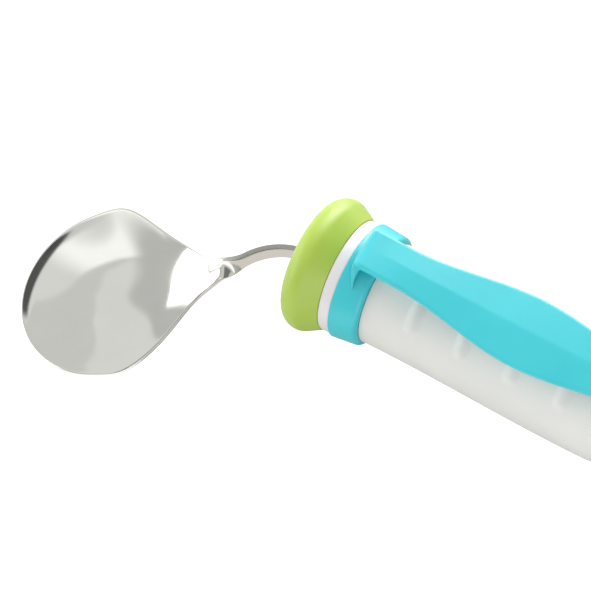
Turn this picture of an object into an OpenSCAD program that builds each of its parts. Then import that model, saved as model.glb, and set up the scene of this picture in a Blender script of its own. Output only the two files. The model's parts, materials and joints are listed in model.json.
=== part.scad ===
// Bendable spoon with a fat soft handle and a hand strap, in millimetres.
// X runs along the handle, from the bowl to the butt. Z is up, on the strap's side.
// The origin is the centre of the flat butt face.

/* [Handle] */
// Length of the handle, from the front of the lip to the butt face
handle_len = 108; // [102:1:130]
// Diameter of the lip between the collar and the strap's front ring
lip_d = 30; // [28:0.2:34]
// Thickness of the lip along the handle
lip_t = 2.9; // [2:0.1:5]
// Diameter of the grip where it meets the two rings
grip_end_d = 26.6; // [26:0.2:29]
// Largest diameter of the grip
grip_belly_d = 30.4; // [28:0.2:36]
// Distance from the front of the lip to the largest diameter
grip_belly_at = 72; // [50:1:76]
// Outside diameter of the hard tube inside the grip
core_d = 22; // [18:0.2:23]
// Wall of the hard tube
core_wall = 2.4; // [1.6:0.1:3.5]
// Length of the end cap that shows behind the rear ring
cap_len = 8.6; // [6:0.2:14]
// Diameter of the end cap
cap_d = 29; // [26.5:0.2:34]
// Rounding of the end cap's rim
cap_round = 5; // [2:0.2:5.4]
// Length of the end cap's plug inside the tube
cap_plug_len = 10; // [5:0.5:20]

/* [Grip ribs] */
// Distance from the front of the lip to the first rib
rib_first = 23.8; // [16:0.2:26]
// Distance between ribs
rib_pitch = 13.6; // [10:0.2:15]
// Number of ribs
rib_count = 5; // [1:1:5]
// Radius of a rib's rounded section
rib_round = 1.6; // [1.2:0.1:1.6]
// Height of a rib above the grip
rib_h = 0.8; // [0.3:0.1:1]
// Angle around the handle that a rib covers
rib_span = 92; // [40:2:140]

/* [Collar] */
// Length of the finger guard in front of the lip
collar_len = 10.8; // [9:0.2:16]
// Largest diameter of the finger guard
collar_d = 35.8; // [33:0.2:44]
// Diameter of the finger guard where it meets the lip
collar_back_d = 30.2; // [28:0.2:32]
// Radius of the finger guard's rounded rim
collar_round = 4.6; // [3:0.1:4.8]
// Depth of the tube's seat inside the finger guard
collar_seat = 7.4; // [5:0.2:8]
// Diameter of the hole that the neck passes through
neck_hole_d = 7.2; // [6.4:0.2:10]

/* [Hand strap] */
// Depth of the rings' grooves below the grip
groove_depth = 0.7; // [0.4:0.1:0.9]
// Wall of the two rings at their outer edges
ring_wall = 2.8; // [2.2:0.1:3.2]
// How much thinner the rings' walls are at their inner edges
ring_taper = 0.8; // [0:0.1:1]
// Width of the rings along the handle
ring_w = 7.6; // [6.5:0.1:12]
// Distance from a ring's outer edge to the post that carries the band
post_set = 1.1; // [0.8:0.1:3]
// Lean of the posts towards the middle of the band
post_lean = 22; // [0:1:30]
// Thickness of the post
post_t = 2.6; // [2:0.1:3.4]
// Thickness of the band along its centre
strap_t = 2.4; // [1.8:0.1:3.4]
// Drop of the band's top from its centre ridge to its edges
strap_roof = 0.7; // [0.2:0.1:1.2]
// Width of the band at the posts
strap_end_w = 10.6; // [8:0.2:14]
// Width of the band halfway along the handle
strap_mid_w = 18; // [14:0.2:24]
// Length over which the band widens on either side of its middle
strap_swell = 33; // [20:1:40]
// Hand gap between the grip's largest diameter and the underside of the band
hand_gap = 4.6; // [3.4:0.1:9]
// Rounding of the band's outer corners above the posts
strap_round = 2.6; // [1:0.1:3.2]

/* [Neck strip] */
// Height of the strip, which stands on edge
strip_h = 5; // [4:0.1:5.4]
// Thickness of the strip
strip_t = 1.6; // [1.2:0.1:2]
// Length of the bent stretch of the strip
bend_len = 17.2; // [15:0.1:24]
// Sideways bend of the neck as stored
bend_deg = 58; // [30:1:62]
// Largest sideways bend to either side
bend_limit_deg = 65; // [63:1:70]
// Length of the tang behind the front of the lip
tang_len = 27; // [20:1:60]
// Length of the socket behind the end of the tang
socket_end = 4; // [2:0.5:10]
// Diameter of the cross pins
pin_d = 2; // [1.5:0.1:2.6]
// Distance from the front of the lip to the first pin
pin_first = 8; // [5:0.5:10]
// Distance from the end of the tang to the second pin
pin_edge = 7; // [3:0.5:8]

/* [Spoon head] */
// Length of the twisted root between the neck's bend and the bowl
root_len = 9; // [7:0.1:14]
// Length of the bowl from the end of the twist to the tip
bowl_len = 54.5; // [45:0.5:64]
// Width of the bowl
bowl_w = 47.4; // [38:0.2:56]
// Distance from the end of the twist to the widest place
bowl_wide_at = 28; // [20:0.5:32]
// Depth of the bowl
bowl_depth = 7.5; // [6:0.5:12]
// Thickness of the bowl's sheet at its rim
bowl_t = 1.2; // [0.8:0.1:1.6]
// Length over which the strip widens before the end of the twist
flare_len = 7.6; // [3:0.2:8]
// Sideways heading of the bowl from the handle's axis
bowl_yaw = 32; // [0:1:50]
// Dip of the bowl's axis below the handle's axis
bowl_pitch = 14; // [0:1:20]
// Tilt of the bowl to the near side
bowl_roll = 0; // [-6:1:6]

/* [Fits] */
// Radial clearance of the hinge noses and of the strap's rings
running_fit = 0.06; // [0.03:0.01:0.1]
// Clearance between pieces that are fixed together
seat_fit = 0.04; // [0.02:0.01:0.1]
// Clearance between the ring edges and the grooves they turn in
edge_fit = 0.2; // [0.1:0.05:0.4]

/* [Hidden] */
$fn = 96;
cut = 1;                                          // overrun of cutting shapes

// Stations along the handle, measured from the front of the lip
front_x = -handle_len;
ring_front_at = lip_t + edge_fit;
groove_front_end = lip_t + ring_w + 2 * edge_fit;
groove_rear_end = handle_len - cap_len;
groove_rear_start = groove_rear_end - ring_w - 2 * edge_fit;
ring_rear_at = groove_rear_start + edge_fit;
strap_half = (ring_rear_at + ring_w - ring_front_at) / 2;
strap_mid_at = ring_front_at + strap_half;

// Radii, from the inside out
core_r = core_d / 2;
core_bore_r = core_r - core_wall;
groove_r = grip_end_d / 2 - groove_depth;
ring_bore_r = groove_r + running_fit;
ring_r = ring_bore_r + ring_wall;
ring_thin_r = ring_r - ring_taper;
strap_under = grip_belly_d / 2 + hand_gap;
strap_top = strap_under + strap_t;
post_sink = 3;                                    // reach of the posts below the rings' bore
post_foot = ring_bore_r - post_sink;

// Neck hinges: two equal turns share the bend, with a straight link between them
hinge_count = 2;
hinge_step = bend_deg / hinge_count;
hinge_turn = bend_limit_deg / hinge_count;        // largest angle between two lengths of strip
bend_r = bend_len / (bend_deg * PI / 180);
link_half = bend_r * tan(hinge_step / 2);
nose_inset = 0.1;                                 // how far the noses are set in from the strip's faces
nose_gap = 0.1;                                   // gap between two lengths of strip at the largest turn
nose_r = strip_t / 2 - nose_inset;
nose_relief = (strip_t / 2 * sin(hinge_turn) + nose_gap) / cos(hinge_turn);
neck_x = front_x - collar_len;

// Shape of the bowl
heel_power = 1.4;                                 // fullness of the widening behind the widest place
dish_flat = -0.25;                                // flatness of the bottom of the dish across and at the tip
heel_flat = 0.2;                                  // flatness of the bottom of the dish along the heel
dish_lead = 3;                                    // how far before the end of the twist the dish starts
dish_saddle = 0.06;                               // softness of the start of the dish, a share of its depth
thin_rate = 4;                                    // how soon the widening strip thins to the bowl's sheet
heel_sway = 1.5;                                  // sideways sway of the heel where the neck's bend runs out
sway_at = 7.5;                                    // distance from the end of the twist to the largest sway
sway_len = 6.5;                                   // reach of the sway on either side of its largest place
root_steps = 8;
heel_steps = 14;
tip_steps = 14;
tip_end_deg = 86;                                 // where the rounded tip is closed off
across_steps = 14;

function smooth(t) = t * t * (3 - 2 * t);
function clamp01(t) = min(1, max(0, t));
function heading(yaw, pitch) = [-cos(yaw) * cos(pitch), -sin(yaw) * cos(pitch), -sin(pitch)];
hinge_1 = [neck_x - link_half, 0, 0];
hinge_2 = hinge_1 + 2 * link_half * heading(hinge_step, 0);

// Radius of the grip at a distance from the front of the lip
function grip_r(s) =
    let (front = (s - groove_front_end) / (grip_belly_at - groove_front_end),
         rear = (groove_rear_start - s) / (groove_rear_start - grip_belly_at))
    grip_end_d / 2 + (grip_belly_d - grip_end_d) / 2 * smooth(clamp01(min(front, rear)));

// Places a shape that is turned about Z onto the handle's axis
module on_axis(s) {
    translate([front_x + s, 0, 0]) rotate([0, 90, 0]) children();
}

// Rounded corner of a profile, as points on a quarter circle
function corner(c, r, from, to, n = 8) =
    [for (i = [0:n]) c + r * [cos(from + (to - from) * i / n), sin(from + (to - from) * i / n)]];

// Soft grip with a groove for each ring, cross ribs under the strap
module grip_sleeve() {
    steps = 18;
    pitch = (groove_rear_start - groove_front_end) / steps;
    outline = concat(
        [[core_r + seat_fit, lip_t], [groove_r, lip_t], [groove_r, groove_front_end]],
        [for (i = [0:steps], s = groove_front_end + i * pitch) [grip_r(s), s]],
        [[groove_r, groove_rear_start], [groove_r, groove_rear_end], [core_r + seat_fit, groove_rear_end]]);
    color("whitesmoke") {
        on_axis(0) rotate_extrude() polygon(outline);
        for (i = [0:rib_count - 1]) grip_rib(rib_first + i * rib_pitch);
    }
}

module grip_rib(s) {
    on_axis(s)
        rotate([0, 0, 180 - rib_span / 2])
            rotate_extrude(angle = rib_span)
                translate([grip_r(s) + rib_h - rib_round, 0]) circle(r = rib_round, $fn = 32);
}

// Hard tube with the lip that shows in front of the strap's ring
module handle_core() {
    color("white")
        difference() {
            union() {
                on_axis(-collar_seat) cylinder(r = core_r, h = collar_seat + handle_len - cap_len);
                on_axis(0) cylinder(d = lip_d, h = lip_t);
            }
            on_axis(-collar_seat - cut) cylinder(r = core_bore_r, h = collar_seat + handle_len + cut);
        }
}

// Cap that closes the butt, with a plug inside the tube
module end_cap() {
    r = cap_d / 2;
    outline = concat(
        [[0, -cap_plug_len], [core_bore_r - seat_fit, -cap_plug_len], [core_bore_r - seat_fit, 0], [r, 0]],
        corner([r - cap_round, cap_len - cap_round], cap_round, 0, 90),
        [[0, cap_len]]);
    color("white") on_axis(handle_len - cap_len) rotate_extrude() polygon(outline);
}

// Flared finger guard, seated on the front of the tube
module collar() {
    r = collar_d / 2;
    seat_r = core_r + seat_fit;
    floor_at = collar_len - collar_seat - seat_fit;
    reach = [collar_back_d / 2 - r + collar_round, collar_len - collar_round];
    rim_start = -90;
    rim_end = atan2(reach[1], reach[0]) - acos(collar_round / norm(reach));
    rim_steps = 14;
    outline = concat(
        [[neck_hole_d / 2, 0]],
        corner([r - collar_round, collar_round], collar_round, rim_start, rim_end, rim_steps),
        [[collar_back_d / 2, collar_len], [seat_r, collar_len]],
        [[seat_r, floor_at], [neck_hole_d / 2, floor_at]]);
    color("yellowgreen") on_axis(-collar_len) rotate_extrude() polygon(outline);
}

// Plug inside the tube that holds the tang
module tang_socket() {
    slot_t = strip_t + 2 * seat_fit;
    slot_h = strip_h + 2 * seat_fit;
    color("gainsboro")
        difference() {
            on_axis(-collar_seat)
                cylinder(r = core_bore_r - seat_fit, h = collar_seat + tang_len + socket_end);
            translate([front_x - collar_seat - cut, -slot_t / 2, -slot_h / 2])
                cube([collar_seat + tang_len + seat_fit + cut, slot_t, slot_h]);
            cross_rods(pin_d + 2 * seat_fit, core_d);
        }
}

// A rod across the handle at each pin, for the pins and their bores
module cross_rods(d, length) {
    for (s = [pin_first, tang_len - pin_edge])
        translate([front_x + s, 0, 0]) rotate([90, 0, 0]) cylinder(d = d, h = length, center = true);
}

// Cross pins through the socket and the tang
module tang_pins() {
    pin_short = 1;
    color("silver") cross_rods(pin_d, 2 * core_bore_r - pin_short);
}

// Hinge nose on the end of a length of strip, and the hollow that turns on it
module nose() {
    cylinder(r = nose_r, h = strip_h, center = true);
}

module nose_hollow() {
    cylinder(r = nose_r + running_fit, h = strip_h + 2 * cut, center = true);
}

// Tail of the strip, from the first hinge into the socket
module neck_tang() {
    reach = collar_len + link_half;
    color("silver")
        difference() {
            union() {
                translate([front_x - reach, -strip_t / 2, -strip_h / 2])
                    cube([reach + tang_len, strip_t, strip_h]);
                translate(hinge_1) nose();
            }
            cross_rods(pin_d + 2 * seat_fit, core_d);
        }
}

// Short length of strip between the two hinges
module neck_link() {
    length = 2 * link_half;
    color("silver")
        translate(hinge_1)
            rotate([0, 0, 180 + hinge_step])
                difference() {
                    union() {
                        translate([nose_relief, -strip_t / 2, -strip_h / 2])
                            cube([length - nose_relief, strip_t, strip_h]);
                        translate([length, 0, 0]) nose();
                    }
                    nose_hollow();
                }
}

// Path of the spoon head: distance from the last hinge to heading, twist and half width
head_stations = concat(
    [nose_relief, link_half],
    [for (i = [1:root_steps]) link_half + root_len * i / root_steps],
    [for (i = [1:heel_steps]) link_half + root_len + bowl_wide_at * i / heel_steps],
    [for (i = [1:tip_steps]) link_half + root_len + bowl_wide_at
                             + (bowl_len - bowl_wide_at) * sin(tip_end_deg * i / tip_steps)]);

function root_turn(v) = smooth(clamp01((v - link_half) / root_len));
function head_yaw(v) = bend_deg + (bowl_yaw - bend_deg) * root_turn(v);
function head_pitch(v) = bowl_pitch * root_turn(v);
function head_twist(v) = (90 + bowl_roll) * root_turn(v);
function past_twist(v) = v - link_half - root_len;
function heel_share(v) = clamp01((bowl_wide_at - past_twist(v)) / (bowl_wide_at + flare_len));
function tip_share(v) = clamp01((past_twist(v) - bowl_wide_at) / (bowl_len - bowl_wide_at));
function widening(v) = pow((1 + cos(180 * heel_share(v))) / 2, heel_power);
function head_half(v) =
    past_twist(v) > bowl_wide_at
    ? bowl_w / 2 * sqrt(1 - tip_share(v) * tip_share(v))
    : strip_h / 2 + (bowl_w - strip_h) / 2 * widening(v);
function head_thick(v) = strip_t + (bowl_t - strip_t) * clamp01(widening(v) * thin_rate);

function head_sway(v) = heel_sway * exp(-pow((past_twist(v) - sway_at) / sway_len, 2));

// Dish of the bowl, from 1 in the middle to 0 at the rim, for the square of the share of the way out
function dish(square, flat = dish_flat) = 1 - (1 - flat) * square - flat * square * square;

// Dish along the middle of the heel, which runs out into the strip in a soft saddle
function heel_curve(v) = dish(pow((bowl_wide_at - past_twist(v)) / (bowl_wide_at + dish_lead), 2), heel_flat);
function heel_dish(v) = (heel_curve(v) + norm([heel_curve(v), dish_saddle])) / (1 + norm([1, dish_saddle]));

// Depth of the sheet at a share of the half width from the middle. The heel is a ramp, flat across where it
// leaves the strip, so that its rim drops with its middle
function head_depth(v, across) =
    let (q = across * across,
         t = tip_share(v) * tip_share(v),
         ramp = 1 - smooth(clamp01(past_twist(v) / bowl_wide_at)))
    bowl_depth * (past_twist(v) > bowl_wide_at
                  ? dish(t + (1 - t) * q)
                  : heel_dish(v) * (ramp + (1 - ramp) * dish(q)));

// Middle of the strip at each station, stepped along the heading between stations
head_path = [
    for (i = 0, p = hinge_2 + nose_relief * heading(bend_deg, 0);
         i < len(head_stations);
         p = i + 1 < len(head_stations)
             ? p + (head_stations[i + 1] - head_stations[i])
                 * heading(head_yaw((head_stations[i] + head_stations[i + 1]) / 2),
                           head_pitch((head_stations[i] + head_stations[i + 1]) / 2))
             : p,
         i = i + 1) p];

// One cross section: the upper side from edge to edge, then the lower side back
function head_section(i) =
    let (v = head_stations[i],
         yaw = head_yaw(v),
         pitch = head_pitch(v),
         twist = head_twist(v),
         side = [sin(yaw), -cos(yaw), 0],
         lift = cross(side, heading(yaw, pitch)),
         up = lift * sign(lift[2]),
         normal = cos(twist) * side + sin(twist) * up,
         wide = cos(twist) * up - sin(twist) * side,
         half = head_half(v),
         lift_off = head_thick(v) / 2 * normal,
         middle = [for (j = [0:across_steps], a = 180 * j / across_steps)
             head_path[i] + (half * cos(a) + head_sway(v)) * wide - head_depth(v, cos(a)) * normal])
    concat(
        [for (p = middle) p + lift_off],
        [for (j = [across_steps:-1:0]) middle[j] - lift_off]);

module head_shell() {
    ring = 2 * (across_steps + 1);
    last = len(head_stations) - 1;
    points = [for (i = [0:last]) each head_section(i)];
    wall = [for (i = [0:last - 1], j = [0:ring - 1])
        let (a = i * ring + j, b = i * ring + (j + 1) % ring)
        each [[a, b, b + ring], [a, b + ring, a + ring]]];
    ends = [for (j = [0:across_steps - 1])
        let (a = j, b = j + 1, c = ring - 1 - j, d = ring - 2 - j, e = last * ring)
        each [[b, a, c], [b, c, d], [e + a, e + b, e + c], [e + b, e + d, e + c]]];
    polyhedron(points, concat(wall, ends));
}

// Bowl with its twisted root, turning on the last hinge
module spoon_bowl() {
    color("lightgray")
        difference() {
            head_shell();
            translate(hinge_2) nose_hollow();
        }
}

// Width of the strap's band at a distance from its middle
function strap_w(x) =
    strap_end_w + (strap_mid_w - strap_end_w) * smooth(clamp01(1 - abs(x) / strap_swell));

// Silicone strap: a ring at each end, and a raised band on posts between them
module hand_strap() {
    color("darkturquoise")
        difference() {
            union() {
                on_axis(ring_front_at) cylinder(r1 = ring_r, r2 = ring_thin_r, h = ring_w);
                on_axis(ring_rear_at) cylinder(r1 = ring_thin_r, r2 = ring_r, h = ring_w);
                translate([front_x + strap_mid_at, 0, 0]) strap_band();
            }
            for (s = [ring_front_at, ring_rear_at])
                on_axis(s - cut) cylinder(r = ring_bore_r, h = ring_w + 2 * cut);
        }
}

module strap_band() {
    intersection() {
        strap_side();
        strap_plan();
        strap_section();
    }
}

// Distance from the band's middle to the outer face of a post at a height
function post_out(z) = strap_half - post_set - (z - ring_r) * tan(post_lean);

// Centre of a corner whose arc ends on a post's leaning face, set in from the outer face
function post_corner(r, top, inset) =
    [post_out(top - r + r * sin(post_lean)) - inset - r * cos(post_lean), top - r];

// The strap seen from the side: a bridge on two leaning posts
module strap_side() {
    fillet = 1.2;
    half = concat(
        [[0, strap_top]],
        corner(post_corner(strap_round, strap_top, 0), strap_round, 90, post_lean),
        [[post_out(post_foot), post_foot], [post_out(post_foot) - post_t, post_foot]],
        corner(post_corner(fillet, strap_under, post_t), fillet, post_lean, 90, 5),
        [[0, strap_under]]);
    for (m = [0, 1])
        mirror([m, 0, 0])
            rotate([90, 0, 0]) linear_extrude(strap_mid_w + 2 * cut, center = true) polygon(half);
}

// The strap seen from above: narrow at the posts, wide in the middle
module strap_plan() {
    steps = 16;
    edge = [for (i = [-steps:steps]) [i / steps * strap_half, strap_w(i / steps * strap_half) / 2]];
    back = [for (i = [steps:-1:-steps]) [i / steps * strap_half, -strap_w(i / steps * strap_half) / 2]];
    linear_extrude(strap_top + cut) polygon(concat(edge, back));
}

// The strap seen from the end: a shallow roof with its ridge along the middle
module strap_section() {
    half = strap_mid_w / 2 + cut;
    drop = strap_roof * half / (strap_mid_w / 2);
    rotate([90, 0, 90])
        linear_extrude(2 * strap_half + 2 * cut, center = true)
            polygon([[0, strap_top], [half, strap_top - drop], [half, 0],
                     [-half, 0], [-half, strap_top - drop]]);
}

spoon_bowl();
neck_link();
neck_tang();
tang_socket();
tang_pins();
collar();
handle_core();
grip_sleeve();
hand_strap();
end_cap();
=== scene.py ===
# %% [markdown]
# # A bendable spoon with a hand strap
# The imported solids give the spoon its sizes, its bodies and its hinges. This lesson dresses them: each
# piece that shows is worked out again as a smooth surface in the same place, and gets a finish that follows
# the real one. Lengths in this file are millimetres, as on a drawing. They become metres only when they are
# handed to Blender.

# %% Load the frame
import json
import bmesh
import bpy
import numpy as np
from mathutils import Matrix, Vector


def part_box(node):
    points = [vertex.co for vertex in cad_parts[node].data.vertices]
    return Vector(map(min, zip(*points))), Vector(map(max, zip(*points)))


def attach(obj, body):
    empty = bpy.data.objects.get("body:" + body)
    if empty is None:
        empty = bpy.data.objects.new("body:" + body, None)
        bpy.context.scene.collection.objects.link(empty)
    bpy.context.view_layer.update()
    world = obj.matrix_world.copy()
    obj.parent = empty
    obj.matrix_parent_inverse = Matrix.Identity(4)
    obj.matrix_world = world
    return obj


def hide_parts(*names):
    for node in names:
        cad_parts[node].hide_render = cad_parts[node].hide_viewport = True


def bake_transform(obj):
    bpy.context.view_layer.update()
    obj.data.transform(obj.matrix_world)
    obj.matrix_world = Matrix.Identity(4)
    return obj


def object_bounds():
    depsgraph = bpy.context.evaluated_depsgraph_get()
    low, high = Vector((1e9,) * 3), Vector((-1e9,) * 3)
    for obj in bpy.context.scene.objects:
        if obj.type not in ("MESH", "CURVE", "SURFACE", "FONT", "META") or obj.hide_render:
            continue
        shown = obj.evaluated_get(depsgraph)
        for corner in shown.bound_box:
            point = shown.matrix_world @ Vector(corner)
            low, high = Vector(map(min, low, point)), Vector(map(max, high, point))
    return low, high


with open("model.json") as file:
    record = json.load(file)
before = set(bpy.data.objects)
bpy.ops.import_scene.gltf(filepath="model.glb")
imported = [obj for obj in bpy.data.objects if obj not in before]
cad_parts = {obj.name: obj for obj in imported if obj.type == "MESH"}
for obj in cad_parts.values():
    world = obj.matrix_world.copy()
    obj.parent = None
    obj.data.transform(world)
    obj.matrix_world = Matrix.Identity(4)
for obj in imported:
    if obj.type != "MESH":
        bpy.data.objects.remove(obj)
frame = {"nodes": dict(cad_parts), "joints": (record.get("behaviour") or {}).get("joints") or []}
cad_box = [list(corner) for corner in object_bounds()]
MM = 0.001

# %% [markdown]
# ## Sizes
# A piece has to sit where its solid sits, so the sizes come from the boxes of the solids wherever a box can
# give them. Only what a box can't show, such as a rounding or the swelling of the grip, is written here as
# a number.

# %% Sizes that the solids give
def span(node):
    """Lowest and highest corner of a solid, in millimetres."""
    return tuple(np.array(corner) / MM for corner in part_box(node))


core_low, core_high = span("handle_core")
collar_low, collar_high = span("collar")
sleeve_low, sleeve_high = span("grip_sleeve")
strap_low, strap_high = span("hand_strap")
cap_low, cap_high = span("end_cap")
tang_low, tang_high = span("neck_tang")
hinge_1, hinge_2 = (np.array(joint["pos_m"]) / MM for joint in frame["joints"][:2])

LIP_FRONT, LIP_R = collar_high[0], core_high[2]
COLLAR_FRONT, COLLAR_R = collar_low[0], collar_high[2]
SLEEVE_FRONT, SLEEVE_REAR = sleeve_low[0], sleeve_high[0]
STRAP_FRONT, STRAP_REAR, STRAP_TOP = strap_low[0], strap_high[0], strap_high[2]
RING_R = -strap_low[2]
BUTT, CAP_R = cap_high[0], cap_high[2]
STRIP_T, STRIP_H = (tang_high - tang_low)[1:]
CORE_R = 11.0
CORE_BORE_R = 8.6
SEAT_FIT = 0.04
EDGE_GAP = 0.03
print(f"lip at {LIP_FRONT:.1f}, ring radius {RING_R:.2f}, strap top {STRAP_TOP:.2f}")
print(f"strip {STRIP_T:.1f} by {STRIP_H:.1f}")

# %% [markdown]
# ## From arrays to meshes
# A surface of revolution, a swept section and a formed sheet are all the same thing to Blender: a grid of
# points. One function turns such grids into a mesh. It welds points that fall together, such as the pole of
# a cap, fills open ends, and makes the faces point outwards.

# %% Grid of points to mesh
def grid_faces(rows, columns, wrap_rows, wrap_columns):
    """Corner numbers of every quad of a grid, as one array: each quad joins a point to its three
    neighbours."""
    i = np.arange(rows if wrap_rows else rows - 1)
    j = np.arange(columns if wrap_columns else columns - 1)
    i, j = (a.ravel() for a in np.meshgrid(i, j, indexing="ij"))
    next_i, next_j = (i + 1) % rows, (j + 1) % columns
    corners = (i * columns + j, i * columns + next_j, next_i * columns + next_j, next_i * columns + j)
    return np.stack(corners, axis=1)


def surface(name, *grids, edge=None, weld=0.002):
    """A mesh object from grids of points, each given as (points, wrap_rows, wrap_columns). The attribute
    edge, where it is given, has a value for each point that tells the finish how much of a cut edge the
    point is."""
    vertices, faces, start = [], [], 0
    for points, wrap_rows, wrap_columns in grids:
        rows, columns = points.shape[:2]
        vertices.append(points.reshape(-1, 3))
        faces.append(grid_faces(rows, columns, wrap_rows, wrap_columns) + start)
        start += rows * columns
    mesh = bpy.data.meshes.new(name)
    mesh.from_pydata(np.concatenate(vertices) * MM, [], np.concatenate(faces).tolist())
    if edge is not None:
        mesh.attributes.new("edge", "FLOAT", "POINT").data.foreach_set("value", np.ravel(edge))
    work = bmesh.new()
    work.from_mesh(mesh)
    bmesh.ops.remove_doubles(work, verts=work.verts, dist=weld * MM)
    open_sides = [side for side in work.edges if side.is_boundary]
    for side in open_sides:
        side.smooth = False
    bmesh.ops.holes_fill(work, edges=open_sides)
    bmesh.ops.recalc_face_normals(work, faces=work.faces)
    for face in work.faces:
        face.smooth = True
    work.to_mesh(mesh)
    work.free()
    made = bpy.data.objects.new(name, mesh)
    bpy.context.scene.collection.objects.link(made)
    print(f"{name}: {len(mesh.vertices)} points, {len(mesh.polygons)} faces")
    return made


# %% Outlines with rounded corners
def rounded(corners, steps):
    """An outline whose corners are arcs. Each corner is given as its two places and its radius r. Its arc
    starts r / tan(half the corner's angle) before the corner, and has its centre on the line that halves
    the corner, at r / sin(half the angle)."""
    corners, radii = np.split(np.array(corners, float), [2], axis=1)
    radii = radii[:, 0]
    before = np.roll(corners, 1, axis=0) - corners
    after = np.roll(corners, -1, axis=0) - corners
    before /= np.linalg.norm(before, axis=1, keepdims=True)
    after /= np.linalg.norm(after, axis=1, keepdims=True)
    half = np.arccos(np.clip((before * after).sum(1), -1, 1)) / 2
    middle = before + after
    middle /= np.linalg.norm(middle, axis=1, keepdims=True)
    centre = corners + middle * (radii / np.sin(half))[:, None]
    start = corners + before * (radii / np.tan(half))[:, None] - centre
    end = corners + after * (radii / np.tan(half))[:, None] - centre
    t = np.linspace(0, 1, steps + 1)[None, :, None]
    turn = (np.pi - 2 * half)[:, None, None]
    arc = (np.sin((1 - t) * turn) * start[:, None] + np.sin(t * turn) * end[:, None]) / np.sin(turn)
    return (centre[:, None] + arc).reshape(-1, 2)


def resampled(outline, step, closed=True):
    """Points along an outline, no further apart than step, with the outline's own points kept."""
    following = np.roll(outline, -1, axis=0)
    length = np.linalg.norm(following - outline, axis=1)
    sides = list(zip(outline, following, length))[: len(outline) if closed else -1]
    pieces = [
        a + (b - a) * np.linspace(0, 1, max(1, int(np.ceil(l / step))), endpoint=False)[:, None]
        for a, b, l in sides
        if l > 1e-6
    ]
    return np.concatenate(pieces if closed else [*pieces, outline[-1:]])


def turned(outline, around=192):
    """A surface of revolution about the handle's axis: point (x, r) of the outline goes round to (x, r *
    sin(angle), r * cos(angle))."""
    angle = np.linspace(0, 2 * np.pi, around, endpoint=False)
    x, r = outline[:, :1], outline[:, 1:]
    return np.stack([x + 0 * angle, r * np.sin(angle), r * np.cos(angle)], axis=-1)


def smooth(t):
    """Rises from 0 to 1 with level ends: t squared times (3 - 2 t)."""
    t = np.clip(t, 0, 1)
    return t * t * (3 - 2 * t)


def smoother(t):
    """Rises from 0 to 1 with level and uncurved ends: t cubed times (6 t squared - 15 t + 10)."""
    t = np.clip(t, 0, 1)
    return t**3 * (t * (6 * t - 15) + 10)


# %% [markdown]
# ## Finishes
# Each finish is a small graph of shader nodes. Writing the graph as Python expressions keeps it readable: a
# `Wire` stands for one output, the arithmetic signs add Math nodes, and `Graph.node` adds any other node.
# The same class serves a material and the world.

# %% Wires and graphs
class Wire:
    """One output of a shader node, ready for arithmetic."""

    def __init__(self, graph, socket):
        self.graph, self.socket = graph, socket

    def math(self, operation, other=0.0):
        return self.graph.node("ShaderNodeMath", {"operation": operation}, {0: self, 1: other})

    def __add__(self, other):
        return self.math("ADD", other)

    __radd__ = __add__

    def __sub__(self, other):
        return self.math("SUBTRACT", other)

    def __rsub__(self, other):
        return self.math("MULTIPLY", -1.0) + other

    def __mul__(self, other):
        return self.math("MULTIPLY", other)

    __rmul__ = __mul__


class Graph:
    """The nodes of a material or of a world, added one call at a time."""

    def __init__(self, owner):
        self.owner = owner
        owner.use_nodes = True
        self.tree = owner.node_tree
        self.tree.nodes.clear()

    def node(self, kind, settings, sockets, output=0):
        """Adds a node, gives it its settings, then sets or links its sockets, and returns one of its
        outputs."""
        made = self.tree.nodes.new(kind)
        for key, value in settings.items():
            setattr(made, key, value)
        for key, value in sockets.items():
            if isinstance(value, Wire):
                self.tree.links.new(value.socket, made.inputs[key])
            else:
                made.inputs[key].default_value = value
        return Wire(self, made.outputs[output]) if made.outputs else None

    def place(self, stretch=(1, 1, 1), turn=(0, 0, 0)):
        """Object coordinates in millimetres, turned and then stretched."""
        where = self.node("ShaderNodeTexCoord", {}, {}, "Object")
        sockets = {"Vector": where, "Rotation": turn, "Scale": tuple(k / MM for k in stretch)}
        return self.node("ShaderNodeMapping", {}, sockets)

    def noise(self, size, where=None, detail=3.0):
        """Cloudy value from 0 to 1, with blotches about size millimetres wide."""
        sockets = {"Vector": where or self.place(), "Scale": 1 / size, "Detail": detail}
        return self.node("ShaderNodeTexNoise", {}, sockets)

    def ramp(self, value, low, high):
        """0 below low, 1 above high, and smooth between them."""
        sockets = {"Value": value, "From Min": low, "From Max": high}
        return self.node("ShaderNodeMapRange", {"interpolation_type": "SMOOTHSTEP"}, sockets)

    def mix(self, factor, first, second):
        """Colour between first and second. The numbers are the Mix node's colour sockets."""
        return self.node("ShaderNodeMix", {"data_type": "RGBA"}, {0: factor, 6: first, 7: second}, 2)

    def bump(self, height, strength, distance):
        """Normal of a surface roughened by height, where 1 stands for distance millimetres."""
        sockets = {"Height": height, "Strength": strength, "Distance": distance * MM}
        return self.node("ShaderNodeBump", {}, sockets)

    def close(self, sockets):
        """Adds the shader and the output, and returns the finished material."""
        shader = self.node("ShaderNodeBsdfPrincipled", {}, sockets)
        self.node("ShaderNodeOutputMaterial", {}, {"Surface": shader})
        return self.owner


def colour(red, green, blue):
    """Linear colour of an sRGB colour given in 0 to 255."""
    srgb = np.array([red, green, blue]) / 255
    linear = np.where(srgb <= 0.04045, srgb / 12.92, ((srgb + 0.055) / 1.055) ** 2.4)
    return (*linear.tolist(), 1.0)


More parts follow.
